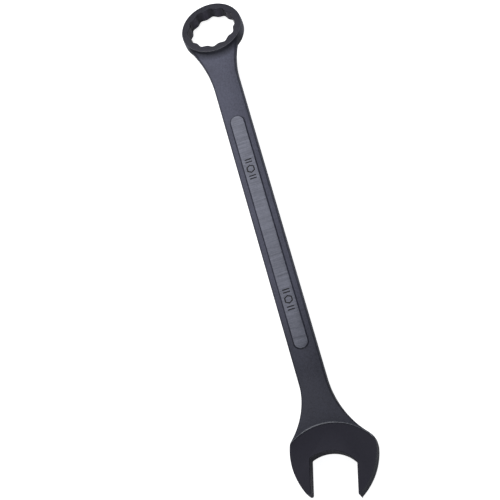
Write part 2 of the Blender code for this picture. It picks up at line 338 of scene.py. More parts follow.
@dataclass(frozen=True)
class Outline:
    """One side of the head in plan: shank, flare, shoulder, and the arc down to the jaw tip."""

    jaw: Jaw
    sign: int
    start: float
    flare: float
    shoulder: float
    shank_half: float

    def offset(self, x: Array) -> Array:
        """Distance from the shank's centre line, towards this side.

        Each stretch is a circle: its centre's offset plus or minus the square root of the radius
        squared less the distance along squared.

        Args:
            x: Places along the shank.

        Returns:
            The offsets.
        """
        jaw = self.jaw
        length = jaw.tip_reach + jaw.widest_behind
        narrowing = jaw.head_half - (jaw.half_width + jaw.tip_land)
        side = (length ** 2 + narrowing ** 2) / (2 * narrowing)
        side_centre = jaw.plan([(-jaw.widest_behind, -self.sign * (side - jaw.head_half))])[0]
        flare_centre = np.array([jaw.middle[0] - self.start, self.sign * (self.shank_half + self.flare)])
        gap = side_centre - flare_centre
        distance = np.hypot(*gap)
        reach_a, reach_b = self.flare + self.shoulder, side - self.shoulder
        along = (reach_a ** 2 - reach_b ** 2 + distance ** 2) / (2 * distance)
        across = math.sqrt(reach_a ** 2 - along ** 2)
        unit = gap / distance
        foot, normal = flare_centre + along * unit, np.array([unit[1], -unit[0]])
        shoulder_centre = max((foot + across * normal, foot - across * normal), key=lambda p: p[0])
        outward = shoulder_centre - flare_centre
        flare_end = flare_centre[0] + outward[0] * self.flare / np.hypot(*outward)
        outward = shoulder_centre - side_centre
        shoulder_end = side_centre[0] + outward[0] * side / np.hypot(*outward)

        def circle(centre: Array, radius: float, bulge: int) -> Array:
            """Offset of a circle whose near or far half is used."""
            rise = np.sqrt(np.maximum(radius ** 2 - (x - centre[0]) ** 2, 0.0))
            return self.sign * centre[1] + bulge * rise

        return np.select(
            [x <= flare_centre[0], x <= flare_end, x <= shoulder_end],
            [np.full_like(x, self.shank_half), circle(flare_centre, self.flare, -1),
             circle(shoulder_centre, self.shoulder, 1)],
            circle(side_centre, side, 1))


@dataclass(frozen=True)
class Ring:
    """The 12-point ring, in its own frame: its axis is Z and its middle is the origin."""

    height: float = 0.0143
    root_radius: float = 0.0240 / math.cos(math.radians(30))
    flat_radius: float = 0.0240
    wall: float = 0.0067
    barrel: float = 0.0006
    edge: float = 0.0004
    lead_in: float = 0.0004
    tilt: float = math.radians(15)
    drop: float = 0.0060
    middle: tuple[float, float] = (-0.0003, 0.0007)
    phase: float = math.radians(8.7)
    soften: float = math.radians(4.0)
    around: int = 288

    @property
    def outer(self) -> float:
        """Outer radius at mid height."""
        return self.root_radius + self.wall

    @property
    def placement(self) -> Array:
        """Rows of the turn that takes the ring's frame to the wrench's."""
        return np.array(Matrix.Rotation(-self.tilt, 3, "Y"))

    def to_frame(self, points: Array) -> Array:
        """Turns points of the wrench's frame into the ring's own."""
        return (points - np.array([*self.middle, -self.drop])) @ self.placement

    def to_wrench(self, points: Array) -> Array:
        """Turns points of the ring's own frame into the wrench's."""
        return points @ self.placement.T + np.array([*self.middle, -self.drop])

    def hole(self, angle: Array) -> Array:
        """Radius of the 12-point hole: a flat's distance over the cosine of the angle from its middle.

        It is averaged over a few degrees, which rounds the teeth and the roots, and the whole hole is
        turned by the phase.

        Args:
            angle: Angles about the axis.

        Returns:
            Radii, least where a tooth points inwards and greatest at a root.
        """
        half = math.pi / 12
        spread = np.linspace(-self.soften, self.soften, 9)[:, None]
        from_tooth = np.abs((angle - self.phase + spread + half) % (2 * half) - half)
        return (self.flat_radius / np.cos(from_tooth + half)).mean(0)

    def core(self) -> bpy.types.Object:
        """Cutter that keeps the bar out of the hole, with its skin in the middle of the wall."""
        circle = arc((0.0, 0.0), 0.5 * (self.root_radius + self.outer), 0.0, 2 * math.pi, 96)[:-1]
        steps = [(-self.height, 0.0), (self.height, 0.0)]
        return solid("ring_core", self.to_wrench(levels(circle, steps)))

    def build(self) -> bpy.types.Object:
        """The ring as one closed grid: a profile for each angle, whose bore follows the 12 points.

        The outside swells by the barrel times the square root of one less the height squared. The
        edges between it and the faces are quarter circles, and the edge of the hole is broken at 45 degrees.

        Returns:
            The ring, in the wrench's frame.
        """
        half = self.height / 2
        face_radius = self.outer - self.barrel
        angle = np.linspace(0.0, 2 * math.pi, self.around, endpoint=False)
        star = self.hole(angle)
        mouth = star + self.lead_in
        ones = np.ones_like(star)
        cone = mouth - star
        radii, heights = [mouth, 0.5 * (mouth + face_radius)], [half * ones, half * ones]
        for swing in np.linspace(math.pi / 2, 0.0, 6):
            radii.append((face_radius - self.edge + self.edge * math.cos(swing)) * ones)
            heights.append((half - self.edge + self.edge * math.sin(swing)) * ones)
        for share in np.linspace(1.0, -1.0, 19)[1:-1]:
            level = share * (half - self.edge)
            radii.append((face_radius + self.barrel * math.sqrt(1 - (level / half) ** 2)) * ones)
            heights.append(level * ones)
        for swing in np.linspace(0.0, math.pi / 2, 6):
            radii.append((face_radius - self.edge + self.edge * math.cos(swing)) * ones)
            heights.append((self.edge - half - self.edge * math.sin(swing)) * ones)
        radii += [0.5 * (mouth + face_radius), mouth]
        heights += [-half * ones, -half * ones]
        for share in (1.0, 0.6, 0.2, -0.2, -0.6, -1.0):
            radii.append(star)
            heights.append(-share * (half - cone))
        radius, height = np.stack(radii), np.stack(heights)
        loops = np.stack([radius * np.cos(angle), radius * np.sin(angle), height], axis=-1)
        return solid("ring_blank", self.to_wrench(loops), ring_shaped=True)


@dataclass(frozen=True)
class Shank:
    """The forged bar: shank, neck and head as one skin, and the raised panels on both sides."""

    jaw: Jaw
    ring: Ring
    width: float = 0.0304
    thickness: float = 0.0155
    crown: float = 0.0008
    draft: float = 0.0007
    edge_radius: float = 0.0020
    flash: float = 0.00018
    flash_height: float = 0.0011
    left_flare: float = 0.1250
    right_flare: float = 0.0920
    neck_thickness: float = 0.0118
    neck_first: float = 0.0131
    neck_run: float = 0.0027
    neck_inset: float = 0.0012
    neck_sink: float = 0.0016
    neck_sink_end: float = 0.0260
    neck_sink_run: float = 0.0120
    underside_lift: float = 0.26
    lift_gap: float = 0.0200
    lift_run: float = 0.0400
    neck_ramp: float = 0.0600
    head_ramp: float = 0.0620
    head_ramp_end: float = 0.0500
    panel_start: float = 0.1130
    panel_length: float = 0.2700
    panel_land: float = 0.0140
    panel_rise: float = 0.0011
    panel_sink: float = 0.0030
    panel_wall: float = 0.0015
    panel_round: float = 0.0003
    fill_fade_low: float = 0.0070
    fill_fade_high: float = 0.0060
    relax_rounds: int = 14

    @property
    def half(self) -> float:
        """Half of the shank's width."""
        return self.width / 2

    @property
    def panel_top(self) -> float:
        """Height of the ground land above the shank's middle."""
        return self.thickness / 2 + self.panel_rise

    def half_height(self, x: Array) -> Array:
        """Half thickness along the shank: a smooth step up to the head and one down to the ring."""
        shank = self.thickness / 2
        to_head = smooth((x - (self.jaw.middle[0] - self.head_ramp_end - self.head_ramp)) / self.head_ramp)
        to_ring = smooth((self.ring.outer + self.neck_ramp - x) / self.neck_ramp)
        into_wall = smooth((self.neck_sink_end - x) / self.neck_sink_run)
        return (shank + (self.jaw.forged_half - shank) * to_head
                - (shank - self.neck_thickness / 2) * to_ring - self.neck_sink * into_wall)

    def neck(self, x: Array, side: Array) -> Array:
        """Half width where a side runs out to the ring on a large circle, and on into its wall.

        Args:
            x: Places along the shank.
            side: 1 for the +Y side and -1 for the -Y side, at each place.

        Returns:
            The half widths.
        """
        outer = self.ring.outer
        flare = np.where(side > 0, self.right_flare, self.left_flare)
        start = np.sqrt((outer + flare) ** 2 - (self.half + flare) ** 2)
        touch = start * outer / (outer + flare)
        rise = np.sqrt(flare ** 2 - np.clip(start - x, 0.0, start - touch) ** 2)
        within = np.sqrt(outer ** 2 - np.clip(x, 0.0, touch) ** 2)
        inset = self.neck_inset * smooth((touch - x) / self.neck_run)
        return np.select([x >= start, x >= touch],
                         [np.full_like(x, self.half), self.half + flare - rise], within - inset)

    def quarter(self, half_width: Array, half_height: Array) -> tuple[Array, Array]:
        """A quarter of the section at each station: crowned face, rounded edge and drafted side.

        The face falls with the square of the distance across, the edge is a quarter circle, and the
        side swells with a sine to the parting line, where a low band of flash stands on it.

        Args:
            half_width: Half width at each station.
            half_height: Half thickness at each station.

        Returns:
            Distances across and heights, stations by points.
        """
        across, up = half_width[:, None], half_height[:, None]
        corner = across - self.draft
        face_end = corner - self.edge_radius
        edge_top = up - self.crown
        share = np.linspace(0.0, 1.0, 15)[None, :-1]
        swing = np.linspace(math.pi / 2, 0.0, 9)[None, :]
        down = 1 - (1 - np.linspace(0.0, 1.0, 9)[None, 1:]) ** 1.7
        side_height = (edge_top - self.edge_radius) * (1 - down)
        band = self.flash * np.exp(-(side_height / self.flash_height) ** 4)
        sides = np.hstack([face_end * share, face_end + self.edge_radius * np.cos(swing),
                           corner + self.draft * np.sin(down * math.pi / 2) - self.flash + band])
        heights = np.hstack([up - self.crown * share ** 2,
                             edge_top - self.edge_radius + self.edge_radius * np.sin(swing), side_height])
        return sides, heights

    def build(self) -> bpy.types.Object:
        """The bar as one loft of closed sections along X."""
        jaw = self.jaw
        neck_end = self.ring.outer + self.neck_ramp
        flare_start = jaw.middle[0] - self.head_ramp_end - self.head_ramp
        end = jaw.middle[0] + jaw.tip_reach * math.cos(jaw.turn) + 0.35 * jaw.half_width
        x = np.concatenate([np.linspace(self.neck_first, neck_end, 80),
                            np.linspace(neck_end, flare_start, 40)[1:],
                            np.linspace(flare_start, end, 136)[1:]])
        left = Outline(jaw, -1, 0.1008, 0.0775, 0.0095, self.half).offset(x)
        right = Outline(jaw, 1, 0.0995, 0.1018, 0.0183, self.half).offset(x)
        height, side = self.half_height(x), np.ones_like(x)
        right_y, right_z = self.quarter(np.maximum(self.neck(x, side), right), height)
        left_y, left_z = self.quarter(np.maximum(self.neck(x, -side), left), height)
        y = np.hstack([right_y, right_y[:, -2::-1], -left_y[:, 1:], -left_y[:, -2:0:-1]])
        z = np.hstack([right_z, -right_z[:, -2::-1], -left_z[:, 1:], left_z[:, -2:0:-1]])
        lift = self.underside_lift * smooth((neck_end - self.lift_gap - x) / self.lift_run)[:, None]
        z = np.where(z < 0, z * (1 - lift), z)
        return solid("wrench_forging", np.stack([np.broadcast_to(x[:, None], y.shape), y, z], axis=-1))

    def panel(self, side: int) -> bpy.types.Object:
        """A raised panel with round ends, 45 degree walls and a rounded edge to its flat land.

        Args:
            side: 1 for the upper side, -1 for the lower.

        Returns:
            The panel's solid, sunk into the shank.
        """
        radius = self.panel_land / 2 + self.panel_wall
        first = self.panel_start + radius - self.panel_wall
        second = self.panel_start + self.panel_length - radius + self.panel_wall
        outline = np.vstack([arc((second, 0.0), radius, -math.pi / 2, math.pi / 2, 32),
                             arc((first, 0.0), radius, math.pi / 2, 3 * math.pi / 2, 32)])
        top, soft = self.panel_top, self.panel_round
        turn = np.linspace(math.pi / 4, 0.0, 4)
        brow = [(top - soft * (1 - math.cos(a)), soft * math.sin(a) - self.panel_wall) for a in turn]
        steps = [(top - self.panel_rise - self.panel_sink, 0.0), (top - self.panel_wall, 0.0)] + brow
        loops = levels(outline, steps)
        loops[:, :, 2] *= side
        return solid("panel", loops)

    def fillet(self, piece: bpy.types.Object, size: float) -> None:
        """Fills the corner between the neck and the ring.

        The corner's surface is where the smaller of the two distances, less a quarter of the size
        times the square of their closeness, is zero. A point moves along the slope of that field by
        what the smoothing takes away. Where both surfaces run the same way nothing is filled, and the
        fill fades out towards both faces of the ring. The filled skin is then relaxed, each point
        towards the mean of its neighbours.

        Args:
            piece: The joined neck and ring.
            size: Reach of the fill.
        """
        points = points_of(piece)

        def parts(place: Array) -> tuple[Array, Array]:
            """Distances to the outside of the ring and to the skin of the neck."""
            own = self.ring.to_frame(place)
            to_ring = np.hypot(own[:, 0], own[:, 1]) - (self.ring.outer - self.ring.barrel / 2)
            width = self.neck(place[:, 0], place[:, 1]) - self.draft / 2
            over = np.stack([np.abs(place[:, 1]) - width,
                             np.abs(place[:, 2]) - self.half_height(place[:, 0])]) + self.edge_radius
            outside = np.hypot(*np.maximum(over, 0.0)) + np.minimum(over.max(0), 0.0)
            return to_ring, outside - self.edge_radius

        step = 1e-5
        moved = [(parts(points + step * axis), parts(points - step * axis)) for axis in np.eye(3)]
        ring_way, neck_way = (np.stack([ahead[which] - behind[which] for ahead, behind in moved], axis=-1)
                              / (2 * step) for which in (0, 1))
        to_ring, to_neck = parts(points)
        closeness = np.clip(1 - np.abs(to_ring - to_neck) / size, 0.0, 1.0)
        bend = np.clip(1 - (ring_way * neck_way).sum(1), 0.0, 1.0)
        lean = np.clip(0.5 + 0.5 * (to_ring - to_neck) / size, 0.0, 1.0)[:, None]
        slope = (1 - lean) * ring_way + lean * neck_way
        steep = np.maximum((slope ** 2).sum(1), 0.25)
        own = self.ring.to_frame(points)
        half = self.ring.height / 2
        fade = (smooth((own[:, 2] + half) / self.fill_fade_low)
                * smooth((half - own[:, 2]) / self.fill_fade_high))
        outer = ((np.hypot(own[:, 0], own[:, 1]) > self.ring.outer - 0.0016)
                 * smooth((points[:, 0] - 0.004) / 0.010))
        move = size / 4 * closeness ** 2 * bend * fade * outer / steep
        points = points + slope * move[:, None]
        ends = read(piece.data.edges, "vertices", 2, np.int64)
        first, second = ends.T
        ease = (0.6 * smooth(closeness * 1.6) * fade * outer)[:, None]
        number = np.bincount(ends.ravel(), minlength=len(points))[:, None]
        for _ in range(self.relax_rounds):
            total = np.stack([np.bincount(first, points[second, axis], len(points))
                              + np.bincount(second, points[first, axis], len(points))
                              for axis in range(3)], axis=-1)
            points = points + ease * (total / number - points)
        move_points(piece, points)


@dataclass(frozen=True)
class SizeMark:
    """A plain mark sunk into the panel: a hexagon between two pairs of bars."""

    place: float
    flat: float = 0.0043
    line: float = 0.0013
    bar: float = 0.0038
    depth: float = 0.00045

    def outlines(self) -> list[tuple[Array, Array | None]]:
        """Outer outline and, for the hexagon, the inner one, in plan."""
        turn = np.arange(6) * math.pi / 3
        wide = self.flat / math.cos(math.pi / 6)
        slim = (self.flat - self.line) / math.cos(math.pi / 6)
        shapes = [(np.column_stack([self.place + wide * np.cos(turn), wide * np.sin(turn)]),
                   np.column_stack([self.place + slim * np.cos(turn), slim * np.sin(turn)]))]
        for along in (-0.0112, -0.0080, 0.0080, 0.0112):
            centre = self.place + along
            shapes.append((np.array([(centre - self.line / 2, -self.bar), (centre + self.line / 2, -self.bar),
                                     (centre + self.line / 2, self.bar), (centre - self.line / 2, self.bar)]),
                           None))
        return shapes

    def cutters(self, top: float) -> list[bpy.types.Object]:
        """Cutters that sink the mark into a land at the given height."""
        low, high = top - self.depth, top + 0.001
        made = []
        for outer, inner in self.outlines():
            if inner is None:
                made.append(solid("mark", levels(outer, [(low, 0.0), (high, 0.0)])))
                continue
            loops = np.stack([np.column_stack([line, np.full(6, height)])
                              for line, height in ((outer, low), (outer, high), (inner, high), (inner, low))])
            made.append(solid("mark", loops, ring_shaped=True))
        return made


@dataclass(frozen=True)
class NodeGroups:
    """The shared shading effects, each a node group built once."""

    grain: bpy.types.NodeTree
    grind: bpy.types.NodeTree
    wear: bpy.types.NodeTree


def new_group(name: str, inputs: dict[str, tuple[str, float | None]],
              outputs: dict[str, str]) -> tuple[bpy.types.NodeTree, bpy.types.Node, bpy.types.Node]:
    """An empty shader node group with named sockets.

    Args:
        name: Name of the group.
        inputs: Kind and default of each input.
        outputs: Kind of each output.

    Returns:
        The group, its input node and its output node.
    """
    group = bpy.data.node_groups.new(name, "ShaderNodeTree")
    for label, (kind, default) in inputs.items():
        socket = group.interface.new_socket(label, in_out="INPUT", socket_type=kind)
        if default is not None:
            socket.default_value = default
    for label, kind in outputs.items():
        group.interface.new_socket(label, in_out="OUTPUT", socket_type=kind)
    return group, group.nodes.new("NodeGroupInput"), group.nodes.new("NodeGroupOutput")


def feed(tree: bpy.types.NodeTree, node: bpy.types.Node, inputs: dict[str | int, object]) -> None:
    """Gives a node its inputs, each a socket to link or a value to set."""
    for key, value in inputs.items():
        if isinstance(value, bpy.types.NodeSocket):
            tree.links.new(value, node.inputs[key])
        else:
            node.inputs[key].default_value = value


def add_node(tree: bpy.types.NodeTree, kind: str, inputs: dict[str | int, object] | None = None,
             **settings: object) -> bpy.types.Node:
    """Adds a shader node.

    Args:
        tree: Tree that gets the node.
        kind: Kind of node, without the ShaderNode that all their names start with.
        inputs: A socket or a value for each input that is given one.
        **settings: The node's own settings, made before its inputs.

    Returns:
        The node.
    """
    node = tree.nodes.new("ShaderNode" + kind)
    for name, value in settings.items():
        setattr(node, name, value)
    feed(tree, node, inputs or {})
    return node


def add_math(tree: bpy.types.NodeTree, operation: str, *operands: object,
             clamp: bool = False) -> bpy.types.NodeSocket:
    """Adds a Math node on sockets or numbers, and holds the result between 0 and 1 if asked."""
    return add_node(tree, "Math", dict(enumerate(operands)), operation=operation, use_clamp=clamp).outputs[0]


def add_noise(tree: bpy.types.NodeTree, vector: bpy.types.NodeSocket, scale: float, detail: float,
              roughness: float = 0.5, stretch: tuple[float, float, float] | None = None
              ) -> bpy.types.NodeSocket:
    """Adds a noise texture, optionally on coordinates stretched by a Mapping node.

    Args:
        tree: Tree that gets the nodes.
        vector: Coordinates in metres.
        scale: Scale of the noise.
        detail: Octaves of detail.
        roughness: Strength of the finer octaves.
        stretch: Factor on each coordinate.

    Returns:
        The noise's value.
    """
    if stretch is not None:
        vector = add_node(tree, "Mapping", {"Scale": stretch, "Vector": vector}).outputs["Vector"]
    return add_node(tree, "TexNoise", {"Scale": scale, "Detail": detail, "Roughness": roughness,
                                       "Vector": vector}).outputs["Fac"]


def build_groups() -> NodeGroups:
    """Builds the shared shading groups."""
    grain, given, out = new_group(
        "blasted_grain", {"Vector": ("NodeSocketVector", None), "Coarse": ("NodeSocketFloat", 0.5)},
        {"Mottle": "NodeSocketFloat", "Pits": "NodeSocketFloat"})
    fine = add_noise(grain, given.outputs["Vector"], 1500.0, 3.0, 0.6)
    coarse = add_noise(grain, given.outputs["Vector"], 420.0, 3.0, 0.55)
    broad = add_noise(grain, given.outputs["Vector"], 38.0, 2.0)
    weighted = add_math(grain, "MULTIPLY", coarse, given.outputs["Coarse"])
    mixed = add_math(grain, "ADD", add_math(grain, "MULTIPLY", fine, 0.45), weighted)
    grain.links.new(add_math(grain, "ADD", mixed, add_math(grain, "MULTIPLY", broad, 0.25)),
                    out.inputs["Mottle"])
    grain.links.new(add_math(grain, "ADD", add_math(grain, "MULTIPLY", fine, 0.6), coarse),
                    out.inputs["Pits"])

    grind, given, out = new_group("grinding_lines", {"Vector": ("NodeSocketVector", None)},
                                  {"Lines": "NodeSocketFloat"})
    streak = add_noise(grind, given.outputs["Vector"], 1.0, 4.0, 0.65, (1500.0, 45.0, 45.0))
    wide = add_noise(grind, given.outputs["Vector"], 1.0, 2.0, 0.5, (330.0, 22.0, 22.0))
    grind.links.new(add_math(grind, "ADD", add_math(grind, "MULTIPLY", streak, 0.65),
                             add_math(grind, "MULTIPLY", wide, 0.35)), out.inputs["Lines"])

    wear, given, out = new_group(
        "edge_wear", {"Vector": ("NodeSocketVector", None), "Amount": ("NodeSocketFloat", 1.0)},
        {"Mask": "NodeSocketFloat"})
    attribute = add_node(wear, "Attribute", attribute_name="wear")
    broken = add_noise(wear, given.outputs["Vector"], 260.0, 3.0, 0.6)
    patchy = add_math(wear, "MULTIPLY_ADD", broken, 2.4, -0.62)
    edge = add_math(wear, "MULTIPLY", attribute.outputs["Fac"], patchy, clamp=True)
    wear.links.new(add_math(wear, "MULTIPLY", edge, given.outputs["Amount"], clamp=True),
                   out.inputs["Mask"])
    return NodeGroups(grain, grind, wear)


@dataclass(frozen=True)
class SteelFinish:
    """A finish of the blackened steel: two tones, gloss, grain, lines, wear, and painted shade towards the
    head and in hollows.
    """

    name: str
    dark: tuple[float, float, float]
    light: tuple[float, float, float]
    metallic: float = 0.6
    roughness: float = 0.46
    spread: float = 0.10
    grain: float = 0.5
    lines: bool = False
    bump: float = 0.00006
    wear: float = 0.0
    # painted shade: the share of its colour that the head keeps
    painted_head_shade: float = 1.0
    # painted shade: how strongly the colour darkens in hollows
    hollow_shade: float = 0.0
    worn: tuple[float, float, float] = (0.30, 0.31, 0.35)

    def paint_shade_to_head(self, tree: bpy.types.NodeTree, drawing: bpy.types.NodeSocket,
                      colour: bpy.types.NodeSocket) -> bpy.types.NodeSocket:
        """Paints shade into the colour: darkens it smoothly along the shank, down to the head's painted
        shade.

        Args:
            tree: Tree that gets the nodes.
            drawing: The drawing's coordinates.
            colour: Colour to darken.

        Returns:
            The darkened colour.
        """
        split = add_node(tree, "SeparateXYZ", {"Vector": drawing})
        along = add_node(tree, "MapRange", {
            "Value": split.outputs["X"], "From Min": 0.29, "From Max": 0.44, "To Min": 1.0,
            "To Max": self.painted_head_shade}, interpolation_type="SMOOTHSTEP")
        return add_node(tree, "VectorMath", {0: colour, "Scale": along.outputs["Result"]},
                        operation="SCALE").outputs["Vector"]

    def paint_hollow_shade(self, tree: bpy.types.NodeTree,
                      colour: bpy.types.NodeSocket) -> bpy.types.NodeSocket:
        """Darkens the colour in the hollows, which stands in for the shade in them.

        Args:
            tree: Tree that gets the nodes.
            colour: Colour to darken.

        Returns:
            The darkened colour.
        """
        depth = add_node(tree, "Attribute", attribute_name="hollow_shade").outputs["Fac"]
        kept = add_math(tree, "SUBTRACT", 1.0, add_math(tree, "MULTIPLY", depth, self.hollow_shade))
        return add_node(tree, "VectorMath", {0: colour, "Scale": kept}, operation="SCALE").outputs["Vector"]

    def build(self, groups: NodeGroups, tilt: float, corner: Vector) -> bpy.types.Material:
        """Builds the material on the drawing's coordinates, so that it lies with the wrench.

        Args:
            groups: The shared node groups.
            tilt: How far the wrench is tipped about Y where it lies.
            corner: Where the drawing's origin lies.

        Returns:
            The material.
        """
        material = bpy.data.materials.new(self.name)
        material.use_nodes = True
        tree = material.node_tree
        drawing = add_node(tree, "Mapping", {
            "Vector": add_node(tree, "TexCoord").outputs["Object"], "Location": corner,
            "Rotation": (0.0, tilt, 0.0)}, vector_type="TEXTURE").outputs["Vector"]
        grain = add_node(tree, "Group", {"Vector": drawing, "Coarse": self.grain}, node_tree=groups.grain)
        tone, height = grain.outputs["Mottle"], grain.outputs["Pits"]
        if self.lines:
            lines = add_node(tree, "Group", {"Vector": drawing}, node_tree=groups.grind).outputs["Lines"]
            tone = add_math(tree, "ADD", add_math(tree, "MULTIPLY", tone, 0.35),
                            add_math(tree, "MULTIPLY", lines, 0.85))
            height = add_math(tree, "ADD", add_math(tree, "MULTIPLY", height, 0.2), lines)
        ramp = add_node(tree, "MapRange", {"Value": tone, "From Min": 0.38,
                                           "From Max": 0.82}).outputs["Result"]
        colour = add_node(tree, "Mix", {"A": (*self.dark, 1.0), "B": (*self.light, 1.0), "Factor": ramp},
                          data_type="RGBA").outputs["Result"]
        rough = add_math(tree, "MULTIPLY_ADD", ramp, self.spread, self.roughness - self.spread / 2)
        if self.wear > 0.0:
            mask = add_node(tree, "Group", {"Vector": drawing, "Amount": self.wear},
                            node_tree=groups.wear).outputs["Mask"]
            colour = add_node(tree, "Mix", {"A": colour, "B": (*self.worn, 1.0), "Factor": mask},
                              data_type="RGBA").outputs["Result"]
            rough = add_math(tree, "SUBTRACT", rough, add_math(tree, "MULTIPLY", mask, 0.12))
        # painted shade: the colour darkens along the shank towards the head
        if self.painted_head_shade < 1.0:
            colour = self.paint_shade_to_head(tree, drawing, colour)
        # painted shade in the corner under the ring and in the roots of the hole
        if self.hollow_shade > 0.0:
            colour = self.paint_hollow_shade(tree, colour)
        bump = add_node(tree, "Bump", {"Distance": self.bump, "Strength": 1.0, "Height": height})
        feed(tree, tree.nodes["Principled BSDF"],
             {"Metallic": self.metallic, "Base Color": colour, "Roughness": rough,
              "Normal": bump.outputs["Normal"]})
        return material


FINISHES = {
    # The forged finish carries painted shade, darker towards the head and in the corner under the ring.
    Finish.FORGED: SteelFinish("blasted_black_steel", (0.031, 0.032, 0.047), (0.089, 0.092, 0.130),
                               roughness=0.52, bump=0.00012, wear=0.75, painted_head_shade=0.44, hollow_shade=0.72),
    Finish.PANEL: SteelFinish("ground_black_steel", (0.024, 0.025, 0.034), (0.138, 0.143, 0.178),
                              lines=True, roughness=0.40, bump=0.00014),
    Finish.MILLED: SteelFinish("milled_black_steel", (0.0165, 0.0155, 0.0260), (0.0300, 0.0280, 0.0440),
                               metallic=0.5, roughness=0.55, grain=0.3, bump=0.00003),
    Finish.RING_FACE: SteelFinish("faced_black_steel", (0.022, 0.0215, 0.030), (0.046, 0.045, 0.061),
                                  metallic=0.5, roughness=0.50, grain=0.35, bump=0.00004),
    # The broached finish carries painted shade in the roots of the hole.
    Finish.BROACHED: SteelFinish("broached_black_steel", (0.034, 0.031, 0.047), (0.105, 0.096, 0.140),
                                 hollow_shade=0.70, roughness=0.32, grain=0.3, bump=0.00004),
    Finish.JAW: SteelFinish("jaw_black_steel", (0.015, 0.014, 0.023), (0.028, 0.0265, 0.041),
                            roughness=0.50, grain=0.3, bump=0.00004),
    # The milled step's edge: rubbed bright metal, made brighter still by a painted highlight.
    Finish.EDGE: SteelFinish("rubbed_and_highlight_steel", (0.160, 0.163, 0.185), (0.480, 0.485, 0.520),
                             roughness=0.40, grain=0.6, metallic=0.6, bump=0.00003),
    # A lighter colour on the ring's upper edge, on the shank side only.
    Finish.RIM: SteelFinish("lighter_rim_edge_steel", (0.036, 0.036, 0.043), (0.150, 0.149, 0.165),
                            roughness=0.45, grain=0.8, metallic=0.6, bump=0.00003),
    Finish.RECESS: SteelFinish("recessed_black_steel", (0.006, 0.006, 0.008), (0.014, 0.014, 0.018),
                               roughness=0.70, grain=0.3, metallic=0.1, bump=0.00004),
}


